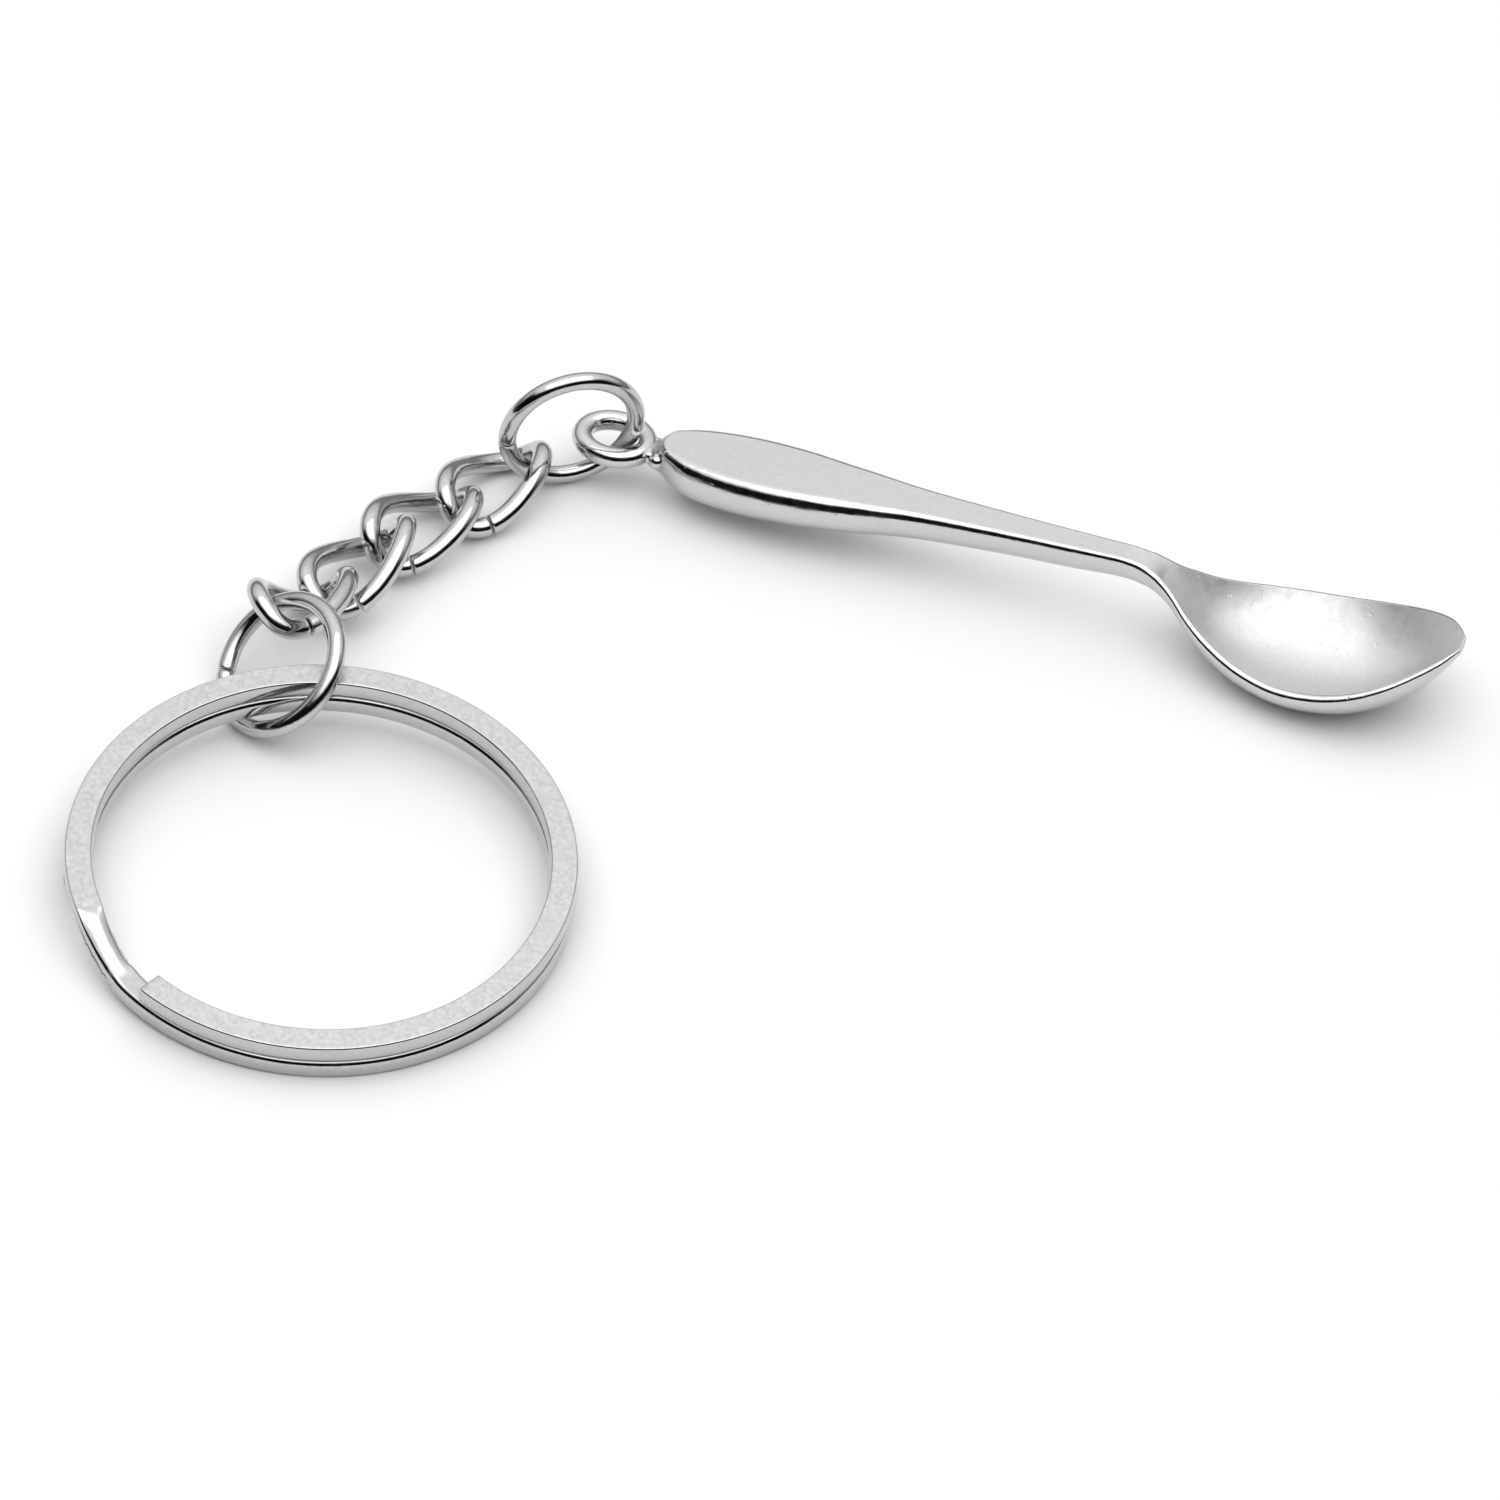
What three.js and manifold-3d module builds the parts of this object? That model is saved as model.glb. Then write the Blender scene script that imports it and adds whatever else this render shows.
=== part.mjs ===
// Key ring set: a flat-wire split ring, a jump ring, four curb links, a second jump ring and a
// small cast spoon charm, all threaded through one another and lying on a table.
// Millimetres, +Z up. The chain runs from the split ring (front left) back to the spoon's eye.
import * as THREE from 'three';
import { mergeVertices } from 'three/addons/utils/BufferGeometryUtils.js';
import Module from 'manifold-3d';

const wasm = await Module();
wasm.setup();
const { Manifold, Mesh } = wasm;

const TURN = Math.PI * 2;
const deg = THREE.MathUtils.degToRad;
const V = (x, y, z) => new THREE.Vector3(x, y, z);

// ---- split ring -------------------------------------------------------------------------------
const RING_R = 15.0;            // outside radius
const BAND_W = 1.7;             // radial width of the flat wire
const COIL_T = 1.22;            // height of one coil
const COIL_GAP = 0.06;          // daylight between the two coils
const BAND_EDGE = 0.24;         // corner radius of the flat wire
const TIP_AT = 230;             // cut end of the upper coil, degrees round the ring
const DROP_FROM = 564;          // the wire starts down from the upper level
const DROP_TO = 588;            // and has reached the lower level
const TAIL_AT = 911;            // cut end of the lower coil, hidden under the upper one
const TURN_STEPS = 66;          // facets in each turn
const BAND_EDGE_STEPS = 2;
const RING_LIFT_AT = 99;        // side of the ring held up by the jump ring under it
const RING_TILT = 3.6;          // by this many degrees

// ---- jump rings -------------------------------------------------------------------------------
const JUMP_R = 4.14;            // radius of the wire's centre line
const JUMP_WIRE = 1.12;
const JUMP_STEPS = 42;
const SEAM = 0.14;              // open butt seam where the wire's cut ends meet
const JUMPS = [
  { name: 'jump_ring_at_split_ring', at: [-4.27, 15.24, 3.4], axis: [-0.579, -0.346, 0.738], seam: 171 },
  { name: 'jump_ring_at_spoon', at: [11.12, 37.62, 4.8], axis: [0.35, -0.932, -0.09], seam: 205 },
];

// ---- curb links -------------------------------------------------------------------------------
const LINK_A = 4.0;             // half length of the wire's centre line
const LINK_B = 2.27;            // half width
const LINK_P = 2.5;             // squareness of the oval
const LINK_TWIST = -46;         // twist reached at each end, degrees
const LINK_WIRE = 1.27;
const LINK_STEPS = 46;
const LINK_SEAM_AT = 0.66;      // seam on the near strand, fraction of the way round
const LINKS = [                 // centre, then yaw, pitch, roll in degrees
  { at: [-3.7, 21.16, 3.36], yaw: 62.6, pitch: -24.0, roll: -14.3 },
  { at: [-0.71, 25.78, 2.54], yaw: 56.4, pitch: 3.1, roll: -13.4 },
  { at: [2.53, 30.56, 2.0], yaw: 51.4, pitch: -3.7, roll: 3.6 },
  { at: [6.59, 35.22, 1.75], yaw: 56.5, pitch: -1.4, roll: -0.3 },
];

const WIRE_SIDES = 10;

// ---- spoon charm (x along the spoon from the eye, z above the table) ---------------------------
const SPOON_EYE = [13.65, 39.32];   // where the eye sits
const SPOON_YAW = -15.6;
const EYE_Z = 2.8;
const EYE_LONG = 2.1;           // eye's wire centre line, half length
const EYE_WIDE = 1.72;          // and half width
const EYE_SHIFT = 0.15;
const EYE_WIRE = 1.3;
const TOP_START = [4, 4.05];    // the handle's flat top is one plane: x, z at the eye end
const TOP_END = [34.5, 5.98];   // and at the neck
const NECK_X = 35;
const NECK_DROP = 0.7;          // the neck by the eye is this much lower than the flat
const NOSE_X = [2.6, 3.6];      // and rises to it over this stretch
const BOWL_WALL = 0.8;
const DISH_RUN = 4.5;           // the dish deepens over this length
const DISH_POWER = 1.0;
const UNDER_POWER = 0.9;
const EDGE_ROUND = 0.85;        // rounded shoulder beside the handle's flat top
const RIM_ROUND = 0.42;         // and along the bowl's rim
const EDGE_SHARE = 0.35;        // but never more than this share of a thin place
const EYE_STEPS = 28;
const COLLAR = { x: 3.3, y: 1.05, z: 2.95, r: 0.52 };
const BOWL_SWAY = 0.28;         // the bowl sits this much towards the far side
// stations down the spoon: x, half width, underside height
const STATIONS = [
  [2.6, 1.05, 2.2], [3.3, 1.15, 1.6], [4.2, 1.62, 0.95], [5, 2.08, 0.8], [6, 2.43, 0.79],
  [8.5, 2.76, 0.83], [12, 2.74, 1.24], [16, 2.27, 1.79], [20, 1.64, 2.44], [25, 1.28, 3.07], [30, 1.05, 3.56],
  [34.5, 1.0, 4.01], [36.5, 1.45, 3.4], [38, 2.35, 2.3], [40, 3.45, 1.0], [42, 4.35, 0.3],
  [44.5, 5.0, 0], [47, 5.1, 0.05], [49, 4.85, 0.4], [51, 4.2, 1.25], [52.6, 3.3, 2.4],
  [53.7, 2.4, 3.8], [54.3, 1.65, 4.75], [54.75, 0.8, 5.5],
];
// height of the bowl's rim: x, z
const RIM = [[34.5, 5.98], [36.2, 5.3], [38, 3.95], [40, 3.08], [42, 2.67], [44, 2.52], [46, 2.7],
  [48, 3.15], [50, 3.9], [52, 4.95], [53.6, 5.9], [54.4, 6.25], [54.75, 6.3]];
const SPOON_STEPS = 58;
const SECTION_HALF = 10;        // points on each half of a spoon cross-section

// ---- helpers ----------------------------------------------------------------------------------
const finish = (colour, roughness) =>
  new THREE.MeshStandardMaterial({ color: colour, metalness: 1, roughness });

const bend = (value, power) => Math.sign(value) * Math.abs(value) ** power;

const roundSection = (thickness) => {
  const section = new THREE.Shape();
  section.absarc(0, 0, thickness / 2, 0, TURN);
  return section;
};

const sweep = (section, path, steps) => new THREE.ExtrudeGeometry(section, {
  steps, extrudePath: path, bevelEnabled: false, curveSegments: WIRE_SIDES / 2,
});

// a closed loop given as a place for every fraction of a turn
class Loop extends THREE.Curve {
  constructor(place) {
    super();
    this.place = place;
  }
  getPoint(t) {
    return this.place(t);
  }
}

// the same loop as bent wire, open by the width of its seam
class BentWire extends THREE.Curve {
  constructor(place, seamAt) {
    super();
    this.place = place;
    this.seamAt = seamAt;
    this.open = SEAM / new Loop(place).getLength();
  }
  getPoint(t) {
    return this.place(this.seamAt + this.open / 2 + t * (1 - this.open));
  }
}

// two turns of flat wire, one on the other, with the section kept upright
class Coil extends THREE.Curve {
  getPoint(t) {
    const at = TIP_AT + (TAIL_AT - TIP_AT) * t;
    const drop = THREE.MathUtils.smoothstep(at, DROP_FROM, DROP_TO);
    const height = THREE.MathUtils.lerp(COIL_T * 1.5 + COIL_GAP, COIL_T / 2, drop);
    const radius = RING_R - BAND_W / 2;
    return V(radius * Math.cos(deg(at)), radius * Math.sin(deg(at)), height);
  }
  computeFrenetFrames(segments) {
    const frames = { tangents: [], normals: [], binormals: [] };
    for (let i = 0; i <= segments; i++) {
      const at = deg(TIP_AT + (TAIL_AT - TIP_AT) * i / segments);
      frames.tangents.push(V(-Math.sin(at), Math.cos(at), 0));
      frames.normals.push(V(-Math.cos(at), -Math.sin(at), 0));
      frames.binormals.push(V(0, 0, 1));
    }
    return frames;
  }
  getPointAt(t) {
    return this.getPoint(t);
  }
}

const merged = (geometry) => {
  geometry.deleteAttribute('normal');
  geometry.deleteAttribute('uv');
  return mergeVertices(geometry, 1e-5);
};

const asSolid = (geometry) => {
  const mesh = merged(geometry);
  return new Manifold(new Mesh({
    numProp: 3,
    vertProperties: new Float32Array(mesh.attributes.position.array),
    triVerts: new Uint32Array(mesh.index.array),
  }));
};

const asGeometry = (solid) => {
  const { vertProperties, triVerts } = solid.getMesh();
  const shape = new THREE.BufferGeometry();
  shape.setAttribute('position', new THREE.BufferAttribute(new Float32Array(vertProperties), 3));
  return shape.setIndex(Array.from(triVerts));
};

// ---- split ring -------------------------------------------------------------------------------
function splitRing() {
  const [w, t, e] = [BAND_W / 2, COIL_T / 2, BAND_EDGE];
  const section = new THREE.Shape();
  section.moveTo(w - e, -t);
  section.absarc(w - e, e - t, e, -Math.PI / 2, 0);
  section.absarc(w - e, t - e, e, 0, Math.PI / 2);
  section.absarc(e - w, t - e, e, Math.PI / 2, Math.PI);
  section.absarc(e - w, e - t, e, Math.PI, 1.5 * Math.PI);
  const steps = Math.round((TAIL_AT - TIP_AT) / 360 * TURN_STEPS);
  return new THREE.ExtrudeGeometry(section, {
    steps, extrudePath: new Coil(), bevelEnabled: false, curveSegments: BAND_EDGE_STEPS,
  });
}

// ---- jump rings and links ---------------------------------------------------------------------
function jumpRing(seamDegrees) {
  const place = (t) => V(JUMP_R * Math.cos(t * TURN), JUMP_R * Math.sin(t * TURN), 0);
  return sweep(roundSection(JUMP_WIRE), new BentWire(place, seamDegrees / 360), JUMP_STEPS);
}

function curbLink() {
  const place = (t) => {
    const x = LINK_A * bend(Math.cos(t * TURN), 2 / LINK_P);
    const y = LINK_B * bend(Math.sin(t * TURN), 2 / LINK_P);
    const twist = deg(LINK_TWIST) * x / LINK_A;
    return V(x, y * Math.cos(twist), y * Math.sin(twist));
  };
  return sweep(roundSection(LINK_WIRE), new BentWire(place, LINK_SEAM_AT), LINK_STEPS);
}

// ---- spoon charm ------------------------------------------------------------------------------
const through = (pairs) =>
  new THREE.CatmullRomCurve3(pairs.map(([x, y, z = 0]) => V(x, y, z)), false, 'centripetal');

// height of the bowl's rim at x
function rimHeight(x, rim) {
  const k = rim.findIndex((p) => p.x >= x);
  if (k < 1) return rim[k < 0 ? rim.length - 1 : 0].y;
  return THREE.MathUtils.mapLinear(x, rim[k - 1].x, rim[k].x, rim[k - 1].y, rim[k].y);
}

// height of the upper surface's edge at x: a dropped neck, the plane flat, then the rim
function topHeight(x, rim) {
  if (x > TOP_END[0]) return rimHeight(x, rim);
  const flat = THREE.MathUtils.mapLinear(x, TOP_START[0], TOP_END[0], TOP_START[1], TOP_END[1]);
  return flat - NECK_DROP * (1 - THREE.MathUtils.smoothstep(x, NOSE_X[0], NOSE_X[1]));
}

// one cross-section: round underside, rounded shoulders, then the flat or the dish
function spoonSection({ x, y: half, z: under }, top) {
  const most = x > NECK_X ? RIM_ROUND : EDGE_ROUND;
  const round = Math.min(most, half * EDGE_SHARE, (top - under) * EDGE_SHARE);
  const sway = BOWL_SWAY * THREE.MathUtils.smoothstep(x, NECK_X, NECK_X + DISH_RUN * 2);
  const edge = top - round;
  const flat = half - round;
  const into = THREE.MathUtils.smoothstep(x, NECK_X, NECK_X + DISH_RUN);
  const dish = Math.max(0, top - under - BOWL_WALL) * into;
  const row = [];
  for (let j = 0; j <= SECTION_HALF; j++) {
    const turn = Math.PI * j / SECTION_HALF;
    row.push(V(x, sway + half * Math.cos(turn), edge - (edge - under) * Math.sin(turn) ** UNDER_POWER));
  }
  row.push(V(x, sway - half + round * 0.3, edge + round * 0.72));
  for (let j = 0; j <= SECTION_HALF; j++) {
    const y = 2 * j / SECTION_HALF - 1;
    row.push(V(x, sway + flat * y, top - dish * (1 - y * y) ** DISH_POWER));
  }
  row.push(V(x, sway + half - round * 0.3, edge + round * 0.72));
  return row;
}

// closed skin over rows of points, with a fan over each end
function skin(rows) {
  const n = rows[0].length;
  const points = rows.flat();
  const index = [];
  for (let i = 0; i + 1 < rows.length; i++) {
    for (let j = 0; j < n; j++) {
      const a = i * n + j;
      const b = i * n + (j + 1) % n;
      index.push(a, b + n, b, a, a + n, b + n);
    }
  }
  for (const row of [0, rows.length - 1]) {
    const hub = points.length;
    points.push(rows[row].reduce((sum, p) => sum.add(p), V(0, 0, 0)).divideScalar(n));
    for (let j = 0; j < n; j++) {
      const pair = [row * n + j, row * n + (j + 1) % n];
      if (row) pair.reverse();
      index.push(hub, ...pair);
    }
  }
  return new THREE.BufferGeometry().setFromPoints(points).setIndex(index);
}

function spoon() {
  const plan = through(STATIONS).getSpacedPoints(SPOON_STEPS);
  const rim = through(RIM).getPoints(SPOON_STEPS * 8);
  let solid = asSolid(skin(plan.map((p) => spoonSection(p, topHeight(p.x, rim)))));

  const eye = new THREE.TorusGeometry(EYE_WIDE, EYE_WIRE / 2, WIRE_SIDES, EYE_STEPS);
  const spots = eye.attributes.position;
  for (let i = 0; i < spots.count; i++) {
    const stretch = (EYE_LONG - EYE_WIDE) * Math.cos(Math.atan2(spots.getY(i), spots.getX(i)));
    spots.setX(i, spots.getX(i) + stretch);
  }
  solid = solid.add(asSolid(eye.translate(EYE_SHIFT, 0, EYE_Z)));
  for (const side of [-1, 1]) {
    const bead = new THREE.SphereGeometry(COLLAR.r, WIRE_SIDES, WIRE_SIDES);
    solid = solid.add(asSolid(bead.translate(COLLAR.x, side * COLLAR.y, COLLAR.z)));
  }
  return asGeometry(solid);
}

// ---- assembly ---------------------------------------------------------------------------------
const keyRing = new THREE.Group();
keyRing.name = 'key_ring_set';

function add(name, geometry, material) {
  const mesh = new THREE.Mesh(geometry, material);
  mesh.name = name;
  keyRing.add(mesh);
  return mesh;
}

const satin = finish(0xbfc2c6, 0.3);
const nickel = finish(0xc9ccd0, 0.18);
const cast = finish(0xd2d4d7, 0.22);

const ring = add('split_ring', splitRing(), satin);
const liftAxis = V(Math.sin(deg(RING_LIFT_AT)), -Math.cos(deg(RING_LIFT_AT)), 0);
ring.quaternion.setFromAxisAngle(liftAxis, deg(RING_TILT));
ring.position.z = RING_R * Math.sin(deg(RING_TILT));

for (const { name, at, axis, seam } of JUMPS) {
  const jump = add(name, jumpRing(seam), nickel);
  jump.quaternion.setFromUnitVectors(V(0, 0, 1), V(...axis).normalize());
  jump.position.set(...at);
}

LINKS.forEach(({ at, yaw, pitch, roll }, i) => {
  const link = add(`chain_link_${i + 1}`, curbLink(), nickel);
  link.rotation.set(deg(roll), deg(-pitch), deg(yaw), 'ZYX');
  link.position.set(...at);
});

const charm = add('spoon_charm', spoon(), cast);
charm.rotation.z = deg(SPOON_YAW);
charm.position.set(SPOON_EYE[0], SPOON_EYE[1], 0);

// stand the set on z = 0 with the middle of its box over the origin
keyRing.updateMatrixWorld(true);
const bounds = new THREE.Box3().setFromObject(keyRing, true);
const middle = bounds.getCenter(V(0, 0, 0));
keyRing.position.set(-middle.x, -middle.y, -bounds.min.z);

export default keyRing;
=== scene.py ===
# Split key ring with a short curb chain and a cast spoon charm, lying on a white table.
import math

import bmesh
import bpy
import numpy as np
from mathutils import Matrix, Vector


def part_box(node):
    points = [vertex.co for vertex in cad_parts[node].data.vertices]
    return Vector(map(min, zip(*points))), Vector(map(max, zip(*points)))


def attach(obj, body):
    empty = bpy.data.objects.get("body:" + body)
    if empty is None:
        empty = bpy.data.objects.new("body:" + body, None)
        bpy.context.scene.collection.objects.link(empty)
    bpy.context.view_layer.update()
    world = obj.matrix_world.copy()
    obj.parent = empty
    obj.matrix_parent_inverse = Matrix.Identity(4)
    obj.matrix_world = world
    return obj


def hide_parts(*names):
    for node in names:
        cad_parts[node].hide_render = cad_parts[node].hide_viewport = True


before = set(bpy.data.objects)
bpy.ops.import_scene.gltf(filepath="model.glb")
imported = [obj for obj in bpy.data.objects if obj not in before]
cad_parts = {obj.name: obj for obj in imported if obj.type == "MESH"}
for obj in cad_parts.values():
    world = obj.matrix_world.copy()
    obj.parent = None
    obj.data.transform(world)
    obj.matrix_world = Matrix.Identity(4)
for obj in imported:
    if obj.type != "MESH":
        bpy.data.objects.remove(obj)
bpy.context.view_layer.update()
MM = 0.001
TURN = 2 * math.pi

# ---- dimensions, in millimetres and degrees -----------------------------------------------------
# They are the CAD's, except for the ring's tip (2.5 degrees further on), the handle's nose and
# shoulders, the smaller far collar bead and the finer shape of the wires' sections.
RING_R, BAND_W, COIL_T, COIL_GAP = 15.0, 1.7, 1.22, 0.06
TIP_AT, DROP_FROM, DROP_TO, TAIL_AT = 232.5, 564, 588, 911
RING_LIFT_AT, RING_TILT = 99, 3.6
GROUND_EDGE, GROOVE_EDGE = 0.12, 0.36   # corner radii: ground outer faces, groove between coils
SIDE_CROWN = 0.09                # bulge of the wire's sides
CROWN, CROWN_RUN = 0.4, 8        # the drop isn't ground flat: its edges stand lower, eased over a run
CROWN_END = 586
PRESS_FROM, PRESS_TO = 581, 597  # a flat pressed mark just before the wire's tip
RING_STEP = 1.5                  # degrees between sections
CUT_CHAMFER = 0.09               # softened edge of a cut wire
JUMP_R, JUMP_WIRE, SEAM = 4.14, 1.12, 0.14
JUMPS = {
    "jump_ring_at_split_ring": ((-4.27, 15.24, 3.4), (-0.579, -0.346, 0.738), 171),
    "jump_ring_at_spoon": ((11.12, 37.62, 4.8), (0.35, -0.932, -0.09), 205),
}
LINK_A, LINK_B, LINK_P, LINK_TWIST, LINK_WIRE, LINK_SEAM_AT = 4.0, 2.27, 2.5, -46, 1.27, 0.66
LINKS = {                        # centre, then yaw, pitch, roll in degrees
    "chain_link_1": ((-3.7, 21.16, 3.36), 62.6, -24.0, -14.3),
    "chain_link_2": ((-0.71, 25.78, 2.54), 56.4, 3.1, -13.4),
    "chain_link_3": ((2.53, 30.56, 2.0), 51.4, -3.7, 3.6),
    "chain_link_4": ((6.59, 35.22, 1.75), 56.5, -1.4, -0.3),
}
SPOON_EYE, SPOON_YAW = (13.65, 39.32, 0), -15.6
EYE_Z, EYE_LONG, EYE_WIDE, EYE_SHIFT, EYE_WIRE = 2.8, 2.1, 1.72, 0.15, 1.3
TOP_START, TOP_END = (4, 4.05), (34.5, 5.98)
NECK_X, BOWL_WALL, DISH_RUN, DISH_POWER, UNDER_POWER = 35, 0.8, 4.5, 1.0, 0.9
NECK_DROP, NOSE_X, NOSE_CURVE, BOWL_SWAY = 0.75, (2.6, 3.5), 0.45, 0.28
EDGE_ROUND, RIM_ROUND, EDGE_SHARE = 0.85, 0.42, 0.35
NECK_EASE = (-1.2, -0.8, -0.4, 0, 0.4, 0.8, 1.2)    # the line into the bowl is averaged over these
COLLAR_X, COLLAR_Y, COLLAR_Z, COLLAR_R, COLLAR_FAR = 3.3, 1.05, 2.95, 0.52, 0.364
TIP_DOME = 0.12
STATIONS = [                     # x, half width, underside height
    (2.6, 1.05, 2.2), (3.3, 1.15, 1.6), (4.2, 1.62, 0.95), (5, 2.08, 0.8), (6, 2.43, 0.79),
    (8.5, 2.76, 0.83), (12, 2.74, 1.24), (16, 2.27, 1.79), (20, 1.64, 2.44), (25, 1.28, 3.07),
    (30, 1.05, 3.56), (34.5, 1.0, 4.01), (36.5, 1.45, 3.4), (38, 2.35, 2.3), (40, 3.45, 1.0), (42, 4.35, 0.3),
    (44.5, 5.0, 0), (47, 5.1, 0.05), (49, 4.85, 0.4), (51, 4.2, 1.25), (52.6, 3.3, 2.4),
    (53.7, 2.4, 3.8), (54.3, 1.65, 4.75), (54.75, 0.8, 5.5)]
RIM = [(34.5, 5.98), (36.2, 5.3), (38, 3.95), (40, 3.08), (42, 2.67), (44, 2.52), (46, 2.7),
       (48, 3.15), (50, 3.9), (52, 4.95), (53.6, 5.9), (54.4, 6.25), (54.75, 6.3)]

# where the layout's own zero is in the frame, from the jump ring's box
low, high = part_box("jump_ring_at_split_ring")
OFFSET = (low + high) / 2 - Vector(JUMPS["jump_ring_at_split_ring"][0]) * MM


def place(rotation=Matrix.Identity(3), at=(0, 0, 0)):
    """Frame matrix of a piece that is modelled in millimetres about its own zero."""
    return Matrix.Translation(OFFSET + Vector(at) * MM) @ rotation.to_4x4() @ Matrix.Scale(MM, 4)


# ---- meshes ----------------------------------------------------------------------------------
def skin(rows):
    """Vertices and faces of a closed skin over rings of points."""
    rows = [np.asarray(r, float) for r in rows]
    n = len(rows[0])
    faces = []
    for i in range(len(rows) - 1):
        for j in range(n):
            a, b = i * n + j, i * n + (j + 1) % n
            faces.append((a, b, b + n, a + n))
    faces.append(tuple(range(n))[::-1])
    faces.append(tuple((len(rows) - 1) * n + j for j in range(n)))
    return np.vstack(rows), faces


def ring_of(rows):
    """The same for rings of points that close on themselves."""
    n, m = len(rows[0]), len(rows)
    faces = [(i * n + j, i * n + (j + 1) % n, (i + 1) % m * n + (j + 1) % n, (i + 1) % m * n + j)
             for i in range(m) for j in range(n)]
    return np.vstack(rows), faces


SHARP, SPOON_SHARP = 38, 50      # edges steeper than this many degrees are shaded sharp


def make(name, parts, matrix, materials, pick=None, sharp=SHARP):
    """One mesh object from several skins, placed in the frame."""
    verts, faces, count = [], [], 0
    for v, f in parts:
        verts.extend(map(tuple, v))
        faces.extend(tuple(k + count for k in face) for face in f)
        count += len(v)
    mesh = bpy.data.meshes.new(name)
    mesh.from_pydata(verts, [], faces)
    for m in materials:
        mesh.materials.append(m)
    grid = bmesh.new()
    grid.from_mesh(mesh)
    bmesh.ops.recalc_face_normals(grid, faces=grid.faces)
    grid.to_mesh(mesh)
    grid.free()
    if pick:
        for polygon in mesh.polygons:
            polygon.material_index = pick(polygon)
    mesh.transform(matrix)
    mesh.validate()
    mesh.shade_smooth()
    mesh.set_sharp_from_angle(angle=math.radians(sharp))
    piece = bpy.data.objects.new(name, mesh)
    bpy.context.scene.collection.objects.link(piece)
    return piece


def wire(path, radius, sides=36):
    """A round wire along an open path, its cut ends slightly rounded."""
    path = np.asarray(path, float)
    tangent = np.gradient(path, axis=0)
    tangent /= np.linalg.norm(tangent, axis=1)[:, None]
    normal = np.cross(tangent[0], (0.31, 0.17, 0.93))
    rows = []
    for p, t in zip(path, tangent):
        normal = normal - t * normal.dot(t)
        normal /= np.linalg.norm(normal)
        side = np.cross(t, normal)
        a = np.linspace(0, TURN, sides, endpoint=False)[:, None]
        rows.append((p, np.cos(a) * normal + np.sin(a) * side))
    out = []

    def end(row, into, turns):
        for turn in turns:
            inset = CUT_CHAMFER * (1 - math.sin(turn * math.pi / 2))
            back = into * CUT_CHAMFER * (1 - math.cos(turn * math.pi / 2))
            out.append(row[0] + row[1] * (radius - inset) + back)

    end(rows[0], tangent[0], (0.0, 0.35, 0.7))
    for p, around in rows[1:-1]:
        if min(np.linalg.norm(p - path[0]), np.linalg.norm(p - path[-1])) > CUT_CHAMFER:
            out.append(p + around * radius)
    end(rows[-1], -tangent[-1], (0.7, 0.35, 0.0))
    return skin(out)


def smooth(x):
    x = min(1.0, max(0.0, x))
    return x * x * (3 - 2 * x)


def catmull(points, per):
    """Centripetal Catmull-Rom curve through the points."""
    p = [np.array(q, float) for q in points]
    p = [2 * p[0] - p[1]] + p + [2 * p[-1] - p[-2]]
    out = []
    for k in range(1, len(p) - 2):
        a, b, c, d = p[k - 1:k + 3]
        t = [0.0]
        for u, v in ((a, b), (b, c), (c, d)):
            t.append(t[-1] + max(np.linalg.norm(v - u), 1e-6) ** 0.5)
        for s in np.linspace(t[1], t[2], per, endpoint=False):
            a1 = (t[1] - s) / (t[1] - t[0]) * a + (s - t[0]) / (t[1] - t[0]) * b
            a2 = (t[2] - s) / (t[2] - t[1]) * b + (s - t[1]) / (t[2] - t[1]) * c
            a3 = (t[3] - s) / (t[3] - t[2]) * c + (s - t[2]) / (t[3] - t[2]) * d
            b1 = (t[2] - s) / (t[2] - t[0]) * a1 + (s - t[0]) / (t[2] - t[0]) * a2
            b2 = (t[3] - s) / (t[3] - t[1]) * a2 + (s - t[1]) / (t[3] - t[1]) * a3
            out.append((t[2] - s) / (t[2] - t[1]) * b1 + (s - t[1]) / (t[2] - t[1]) * b2)
    out.append(p[-2])
    return np.array(out)


# ---- split ring --------------------------------------------------------------------------------
GROUND = 2 * COIL_T + COIL_GAP   # height of the ground upper face


def band_section(at):
    """Section of the flat wire at a place round the coil, with the drop between its two levels."""
    drop = smooth((at - DROP_FROM) / (DROP_TO - DROP_FROM))
    middle = COIL_T * 1.5 + COIL_GAP + drop * (COIL_T / 2 - COIL_T * 1.5 - COIL_GAP)
    press = smooth((at - PRESS_FROM) / 2.0) - smooth((at - PRESS_TO) / 3.0)
    crowned = smooth((at - DROP_FROM) / CROWN_RUN) - smooth((at - CROWN_END) / CROWN_RUN)
    crown = CROWN * crowned * (1 - press)
    w, t = BAND_W / 2, COIL_T / 2
    upper = GROUND_EDGE + (GROOVE_EDGE - GROUND_EDGE) * drop
    lower = GROOVE_EDGE + (GROUND_EDGE - GROOVE_EDGE) * drop
    radius = RING_R - w
    points = []
    corners = ((1, 1, 0, upper), (-1, 1, 90, upper), (-1, -1, 180, lower), (1, -1, 270, lower))
    for sx, sz, start, e in corners:
        for k in range(11):
            a = math.radians(start + 90 * k / 10)
            points.append((sx * (w - e) + e * math.cos(a), sz * (t - e) + e * math.sin(a)))
        if start in (0, 180):
            for k in range(1, 8):
                points.append((sx * (w - e) * (1 - k / 4), sz * t))
        else:
            span = 2 * t - upper - lower
            for k in range(1, 12):
                points.append((sx * w, sz * (t - e) - sz * span * k / 12))
    points = [(x - math.copysign(SIDE_CROWN, x) * (abs(x) / w) ** 4 * (z / t) ** 2, z)
              for x, z in points]
    row = []
    for x, z in points:
        if z > 0:
            z -= crown * min(1.0, (abs(x) / w) ** 2)
        a = math.radians(at)
        r = radius + x
        row.append((r * math.cos(a), r * math.sin(a), middle + z))
    return row


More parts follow.
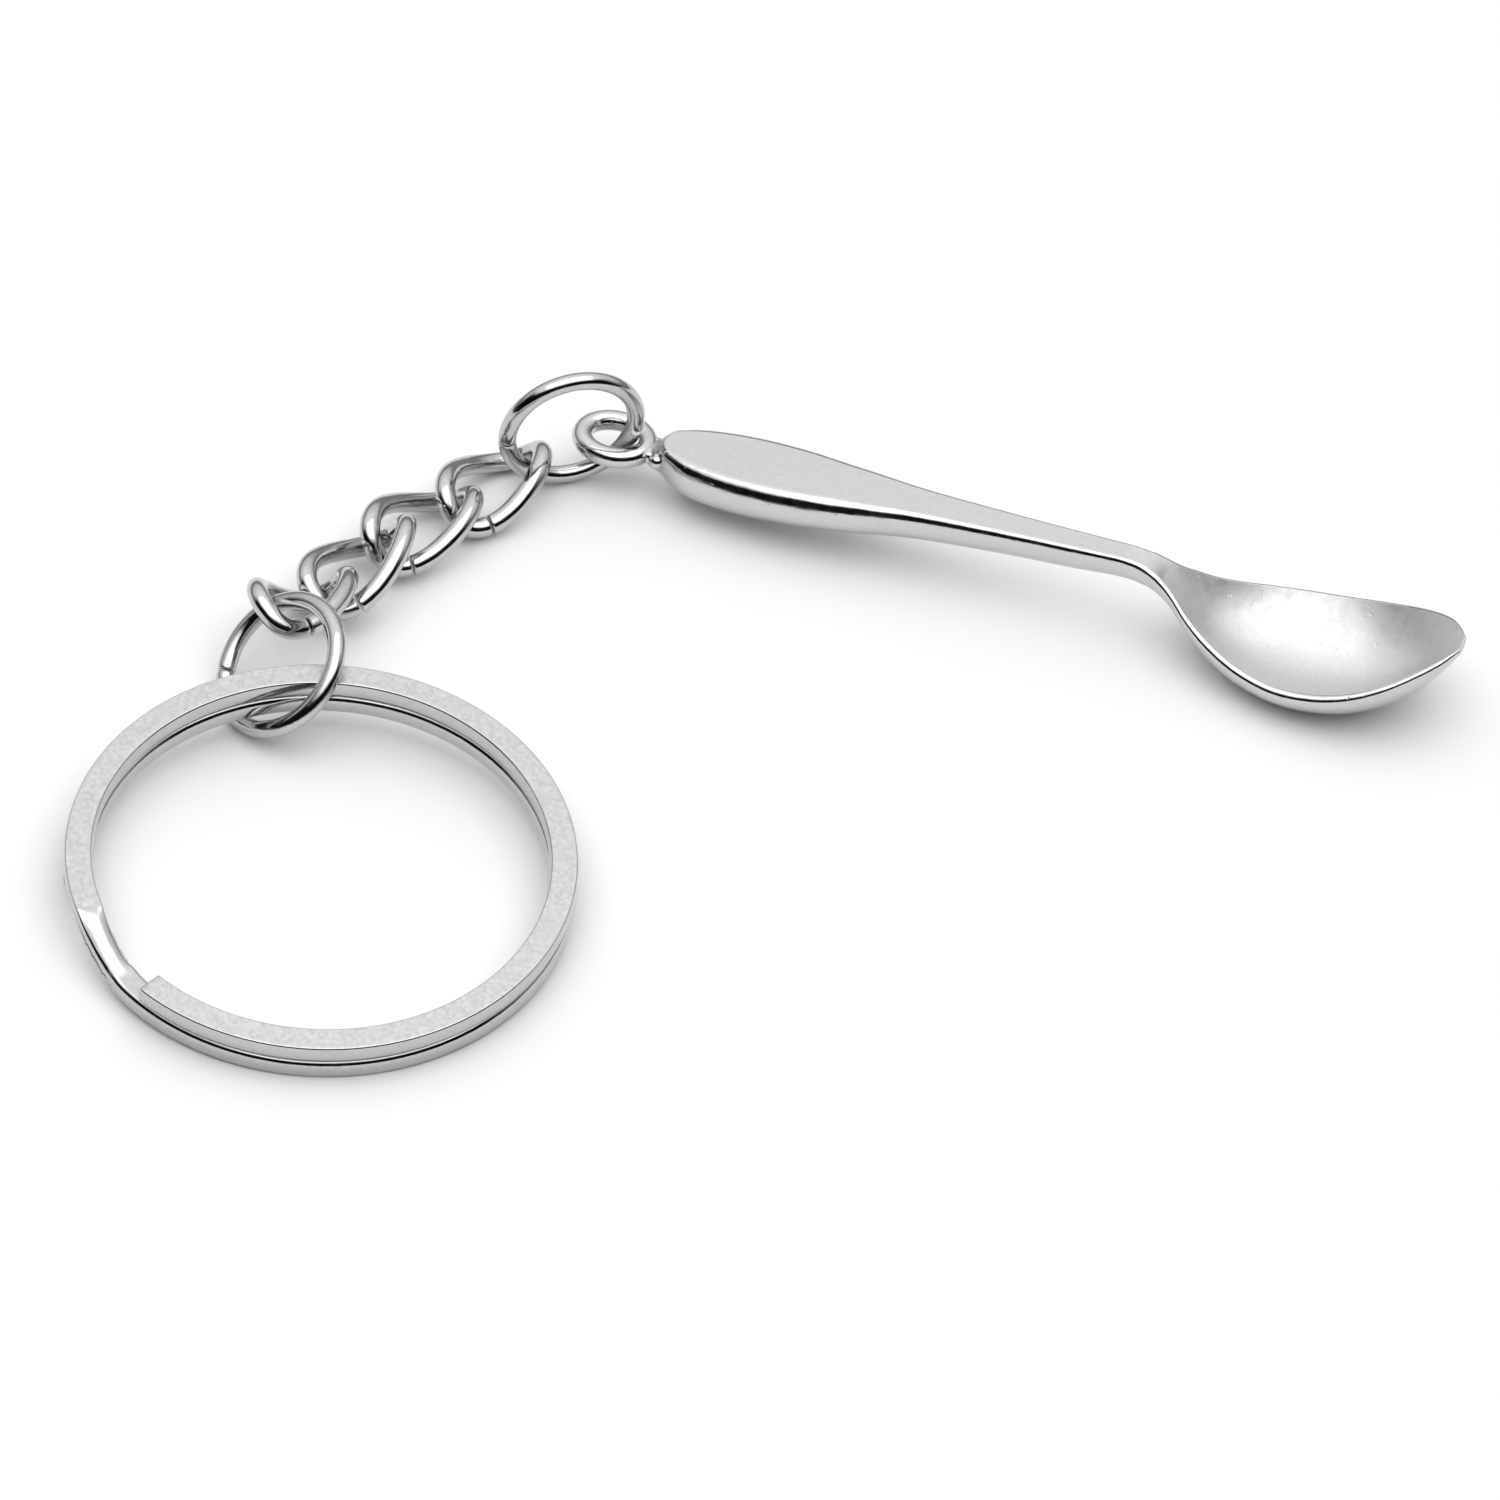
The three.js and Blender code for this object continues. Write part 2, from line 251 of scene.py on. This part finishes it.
def split_ring():
    rows = [band_section(at) for at in np.arange(TIP_AT, TAIL_AT + 0.1, RING_STEP)]
    for end, inner in ((0, 1), (-1, -2)):
        row = np.array(rows[end])
        centre = row.mean(0)
        step = (np.array(rows[inner]) - row).mean(0)
        step *= 0.08 / np.linalg.norm(step)
        face = [centre + (row - centre) * 0.86, centre + (row - centre) * 0.95 + step * 0.25]
        rows[end] = row + step
        rows = face + rows if end == 0 else rows + face[::-1]
    tilt = Matrix.Rotation(math.radians(RING_TILT), 3, Vector((
        math.sin(math.radians(RING_LIFT_AT)), -math.cos(math.radians(RING_LIFT_AT)), 0)))
    lift = RING_R * math.sin(math.radians(RING_TILT))

    def ground(face):
        return int(face.normal.z > 0.995 and abs(face.center.z - GROUND) < 0.01)

    return make("split_ring_wire", [skin(rows)], place(tilt, (0, 0, lift)), [POLISHED, SATIN], ground)


# ---- jump rings and links ----------------------------------------------------------------------
def jump_ring(name):
    at, axis, seam = JUMPS[name]
    open_by = SEAM / (TURN * JUMP_R)
    t = seam / 360 + open_by / 2 + np.linspace(0, 1, 180) * (1 - open_by)
    path = np.stack([JUMP_R * np.cos(t * TURN), JUMP_R * np.sin(t * TURN), 0 * t], 1)
    turn = Vector((0, 0, 1)).rotation_difference(Vector(axis).normalized()).to_matrix()
    return make(name + "_wire", [wire(path, JUMP_WIRE / 2)], place(turn, at), [POLISHED])


def chain_link(name):
    at, yaw, pitch, roll = LINKS[name]
    bend = lambda v, p: np.sign(v) * np.abs(v) ** p
    t = np.linspace(0, 1, 1441)
    x = LINK_A * bend(np.cos(t * TURN), 2 / LINK_P)
    y = LINK_B * bend(np.sin(t * TURN), 2 / LINK_P)
    twist = math.radians(LINK_TWIST) * x / LINK_A
    loop = np.stack([x, y * np.cos(twist), y * np.sin(twist)], 1)
    run = np.concatenate([[0], np.cumsum(np.linalg.norm(np.diff(loop, axis=0), axis=1))])
    open_by = SEAM / run[-1]
    seam = np.interp(LINK_SEAM_AT, t, run) / run[-1]
    u = (seam + open_by / 2 + np.linspace(0, 1, 190) * (1 - open_by)) % 1
    path = np.stack([np.interp(u * run[-1], run, loop[:, k]) for k in range(3)], 1)
    rotation = (Matrix.Rotation(math.radians(yaw), 3, "Z")
                @ Matrix.Rotation(math.radians(-pitch), 3, "Y")
                @ Matrix.Rotation(math.radians(roll), 3, "X"))
    return make(name + "_wire", [wire(path, LINK_WIRE / 2)], place(rotation, at), [POLISHED])


# ---- spoon charm -------------------------------------------------------------------------------
UNDER_COUNT, CORNER_COUNT, TOP_COUNT = 41, 6, 49      # points along each part of a section
TOP_FIRST = UNDER_COUNT + CORNER_COUNT


def spoon_top(x, rim, y=0.0):
    if x > TOP_END[0]:
        return float(np.interp(x, rim[:, 0], rim[:, 1]))
    slope = (TOP_END[1] - TOP_START[1]) / (TOP_END[0] - TOP_START[0])
    drop = 1 - smooth((x - NOSE_CURVE * y * y - NOSE_X[0]) / (NOSE_X[1] - NOSE_X[0]))
    return TOP_START[1] + slope * (x - TOP_START[0]) - NECK_DROP * drop


def spoon_section(x, half, under, rim):
    past_nose = x > NECK_X - 3
    top = spoon_top(x, rim)
    if past_nose:
        top = sum(spoon_top(x + d, rim) for d in NECK_EASE) / len(NECK_EASE)
    most = RIM_ROUND if x > NECK_X else EDGE_ROUND
    r = min(most, half * EDGE_SHARE, (top - under) * EDGE_SHARE)
    sway = BOWL_SWAY * smooth((x - NECK_X) / (2 * DISH_RUN))
    flat = half - r
    side_drop = 0 if past_nose else top - spoon_top(x, rim, flat)
    tall = r if x > NECK_X else min(1.7 * r, (top - under) * 0.45)
    edge = top - tall - side_drop
    dish = max(0.0, top - under - BOWL_WALL) * smooth((x - NECK_X) / DISH_RUN)
    row = []
    for a in np.linspace(0, math.pi, UNDER_COUNT):
        depth = max(0.0, math.sin(a)) ** UNDER_POWER
        row.append((x, sway + half * math.cos(a), edge - (edge - under) * depth))
    for a in np.linspace(0, math.pi / 2, CORNER_COUNT + 2)[1:-1]:
        row.append((x, sway - flat - r * math.cos(a), edge + tall * math.sin(a)))
    for y in -np.cos(np.linspace(0, math.pi, TOP_COUNT)):
        level = top if past_nose else spoon_top(x, rim, flat * y)
        row.append((x, sway + flat * y, level - dish * (1 - y * y) ** DISH_POWER))
    for a in np.linspace(math.pi / 2, 0, CORNER_COUNT + 2)[1:-1]:
        row.append((x, sway + flat + r * math.cos(a), edge + tall * math.sin(a)))
    return row


def spoon_charm():
    rim = catmull(RIM, 40)
    plan = catmull(STATIONS, 16)
    rows = [spoon_section(*p, rim) for p in plan]
    last = np.array(rows[-1])
    hub = last.mean(0)
    for a in (0.25, 0.5, 0.75, 0.95):     # the bowl's tip closes in a small dome
        a *= math.pi / 2
        rows.append(hub + (last - hub) * math.cos(a) + np.array((TIP_DOME * math.sin(a), 0, 0)))
    body = skin(rows)
    around = len(rows[0])
    count = around * (len(rows) - 1)

    rows = []
    for a in np.linspace(0, TURN, 120, endpoint=False):
        round_ = [(EYE_WIDE + EYE_WIRE / 2 * math.cos(b), EYE_WIRE / 2 * math.sin(b))
                  for b in np.linspace(0, TURN, 36, endpoint=False)]
        stretch = EYE_LONG - EYE_WIDE
        rows.append([(EYE_SHIFT + r * math.cos(a) + stretch * math.cos(a), r * math.sin(a), EYE_Z + z)
                     for r, z in round_])
    eye = ring_of(rows)
    parts = [body, eye]
    for side, size in ((-1, COLLAR_R), (1, COLLAR_FAR)):
        bead = []
        for a in np.linspace(0.02, math.pi - 0.02, 24):
            bead.append([(COLLAR_X - size * math.cos(a),
                          side * COLLAR_Y + size * math.sin(a) * math.cos(b),
                          COLLAR_Z + size * math.sin(a) * math.sin(b))
                         for b in np.linspace(0, TURN, 32, endpoint=False)])
        parts.append(skin(bead))
    bowl_row = int(np.argmax(plan[:, 0] > NECK_X + 1))

    def surface(face):
        upper = TOP_FIRST <= face.index % around < TOP_FIRST + TOP_COUNT - 1
        if face.index >= count or not upper:
            return 0
        return 2 if face.index // around >= bowl_row else 1

    turn = Matrix.Rotation(math.radians(SPOON_YAW), 3, "Z")
    metals = [CAST, CAST_SATIN, CAST_BOWL]
    return make("spoon_charm_casting", parts, place(turn, SPOON_EYE), metals, surface, SPOON_SHARP)


# ---- materials ---------------------------------------------------------------------------------
def metal(name, colour, spread, rough, grain, dent, pits=0.0):
    """Plated metal: colour and roughness vary with noise, with grain, dents and pits in the bump."""
    m = bpy.data.materials.new(name)
    m.use_nodes = True
    tree = m.node_tree
    shader = tree.nodes["Principled BSDF"]
    shader.inputs["Metallic"].default_value = 1.0
    spots = tree.nodes.new("ShaderNodeTexCoord")

    def noise(scale, detail):
        n = tree.nodes.new("ShaderNodeTexNoise")
        n.inputs["Scale"].default_value = scale
        n.inputs["Detail"].default_value = detail
        tree.links.new(spots.outputs["Object"], n.inputs["Vector"])
        return n.outputs["Fac"]

    def ranged(value, low_, high_, from_=(0.3, 0.7)):
        r = tree.nodes.new("ShaderNodeMapRange")
        r.inputs["From Min"].default_value, r.inputs["From Max"].default_value = from_
        r.inputs["To Min"].default_value, r.inputs["To Max"].default_value = low_, high_
        tree.links.new(value, r.inputs["Value"])
        return r.outputs["Result"]

    ramp = tree.nodes.new("ShaderNodeValToRGB")
    ramp.color_ramp.elements[0].position, ramp.color_ramp.elements[1].position = 0.3, 0.7
    ramp.color_ramp.elements[0].color = [c * (1 - spread) for c in colour] + [1]
    ramp.color_ramp.elements[1].color = list(colour) + [1]
    tree.links.new(noise(3600, 6), ramp.inputs["Fac"])
    tree.links.new(ramp.outputs["Color"], shader.inputs["Base Color"])
    tree.links.new(ranged(noise(1400, 6), *rough), shader.inputs["Roughness"])

    height = None
    layers = [(noise(9000, 4), grain), (noise(650, 2), dent)]
    if pits:
        layers.append((ranged(noise(2300, 2), 0.0, 1.0, (0.26, 0.32)), pits))
    for value, depth in layers:
        bump = tree.nodes.new("ShaderNodeBump")
        bump.inputs["Distance"].default_value = depth
        bump.inputs["Strength"].default_value = 1.0
        tree.links.new(value, bump.inputs["Height"])
        if height:
            tree.links.new(height, bump.inputs["Normal"])
        height = bump.outputs["Normal"]
    tree.links.new(height, shader.inputs["Normal"])
    return m


POLISHED = metal("polished_nickel", (0.56, 0.56, 0.565), 0.10, (0.07, 0.16), 0.0000012, 0.000028)
SATIN = metal("ground_satin_nickel", (0.66, 0.66, 0.66), 0.24, (0.30, 0.44), 0.0000070, 0.000003)
CAST = metal("cast_nickel", (0.62, 0.62, 0.625), 0.06, (0.09, 0.18), 0.0000016, 0.000040, pits=0.000010)
CAST_SATIN = metal("cast_satin_nickel", (0.69, 0.69, 0.69), 0.09, (0.30, 0.42), 0.0000035, 0.000008)
CAST_BOWL = metal("cast_bowl_nickel", (0.74, 0.74, 0.74), 0.08, (0.44, 0.56), 0.0000030, 0.000030,
                  pits=0.000014)

# ---- pieces ------------------------------------------------------------------------------------
pieces = {"split_ring": split_ring(), "spoon_charm": spoon_charm()}
for node in JUMPS:
    pieces[node] = jump_ring(node)
for node in LINKS:
    pieces[node] = chain_link(node)
for node, piece in pieces.items():
    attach(piece, node)
    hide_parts(node)

# ---- table, light and camera -------------------------------------------------------------------
mesh = bpy.data.meshes.new("table")
mesh.from_pydata([(-2, -2, 0), (2, -2, 0), (2, 2, 0), (-2, 2, 0)], [], [(0, 1, 2, 3)])
table = bpy.data.objects.new("table", mesh)
bpy.context.scene.collection.objects.link(table)
paper = bpy.data.materials.new("white_paper")
paper.use_nodes = True
tree = paper.node_tree
fibre = tree.nodes.new("ShaderNodeTexNoise")
fibre.inputs["Scale"].default_value = 400
tone = tree.nodes.new("ShaderNodeValToRGB")
tone.color_ramp.elements[0].color = (0.93, 0.93, 0.93, 1)
tone.color_ramp.elements[1].color = (0.95, 0.95, 0.95, 1)
tree.links.new(fibre.outputs["Fac"], tone.inputs["Fac"])
tree.links.new(tone.outputs["Color"], tree.nodes["Principled BSDF"].inputs["Base Color"])
tree.nodes["Principled BSDF"].inputs["Roughness"].default_value = 0.9
tree.nodes["Principled BSDF"].inputs["Specular IOR Level"].default_value = 0.1
mesh.materials.append(paper)

world = bpy.data.worlds.new("light_tent")
bpy.context.scene.world = world
world.use_nodes = True
tree = world.node_tree
back = tree.nodes["Background"]
where = tree.nodes.new("ShaderNodeTexCoord")
split = tree.nodes.new("ShaderNodeSeparateXYZ")
tree.links.new(where.outputs["Generated"], split.inputs["Vector"])


def band(value, a, b, lo, hi):
    r = tree.nodes.new("ShaderNodeMapRange")
    r.interpolation_type = "SMOOTHSTEP"
    for name, v in (("From Min", a), ("From Max", b), ("To Min", lo), ("To Max", hi)):
        r.inputs[name].default_value = v
    tree.links.new(value, r.inputs["Value"])
    return r.outputs["Result"]


def times(a, b):
    n = tree.nodes.new("ShaderNodeMath")
    n.operation = "MULTIPLY"
    tree.links.new(a, n.inputs[0])
    tree.links.new(b, n.inputs[1])
    return n.outputs["Value"]


def blended(factor, colour, under):
    """The colour laid over what is under it, by the factor."""
    n = tree.nodes.new("ShaderNodeMix")
    n.data_type = "RGBA"
    n.inputs["B"].default_value = colour
    tree.links.new(factor, n.inputs["Factor"])
    if isinstance(under, tuple):
        n.inputs["A"].default_value = under
    else:
        tree.links.new(under, n.inputs["A"])
    return n.outputs["Result"]


# bright overhead, darker towards the horizon, and nearly black low down on the camera's side
high, deep = split.outputs["Z"], split.outputs["Y"]
near_side = band(deep, -0.30, 0.30, 1, 0)
tent = blended(band(high, 0.55, 0.85, 0, 1), (1.25, 1.25, 1.25, 1), (0.90, 0.90, 0.91, 1))
tent = blended(band(high, 0.18, 0.50, 1, 0), (0.30, 0.30, 0.31, 1), tent)
tent = blended(times(near_side, band(high, 0.56, 0.76, 1, 0)), (0.006, 0.006, 0.008, 1), tent)
tree.links.new(tent, back.inputs["Color"])
back.inputs["Strength"].default_value = 1.0
bpy.context.scene.view_settings.view_transform = "Standard"


def softbox(name, at, target, size, power):
    lamp = bpy.data.lights.new(name, "AREA")
    lamp.shape = "RECTANGLE"
    lamp.size, lamp.size_y = size
    lamp.energy = power
    light = bpy.data.objects.new(name, lamp)
    light.location = at
    light.rotation_euler = (Vector(target) - Vector(at)).to_track_quat("-Z", "Y").to_euler()
    bpy.context.scene.collection.objects.link(light)


softbox("overhead_softbox", (0.03, -0.08, 0.45), (0, 0, 0), (0.60, 0.50), 0.80)

FOCAL_LENGTH, CAMERA_AT = 163.9, (24.18, -280.47, 285.41)
CAMERA_FORWARD, CAMERA_ROLL = (0, 0.71995, -0.69403), -5.92
lens = bpy.data.cameras.new("camera")
lens.sensor_width = 36
lens.lens = FOCAL_LENGTH
lens.clip_start, lens.clip_end = 0.01, 10
camera = bpy.data.objects.new("camera", lens)
forward = Vector(CAMERA_FORWARD)
roll = Matrix.Rotation(math.radians(CAMERA_ROLL), 3, forward)
right = roll @ Vector((1, 0, 0))
up = right.cross(forward)
camera.matrix_world = Matrix.Translation(OFFSET + Vector(CAMERA_AT) * MM) @ Matrix(
    (right, up, -forward)).transposed().to_4x4()
bpy.context.scene.collection.objects.link(camera)
bpy.context.scene.camera = camera
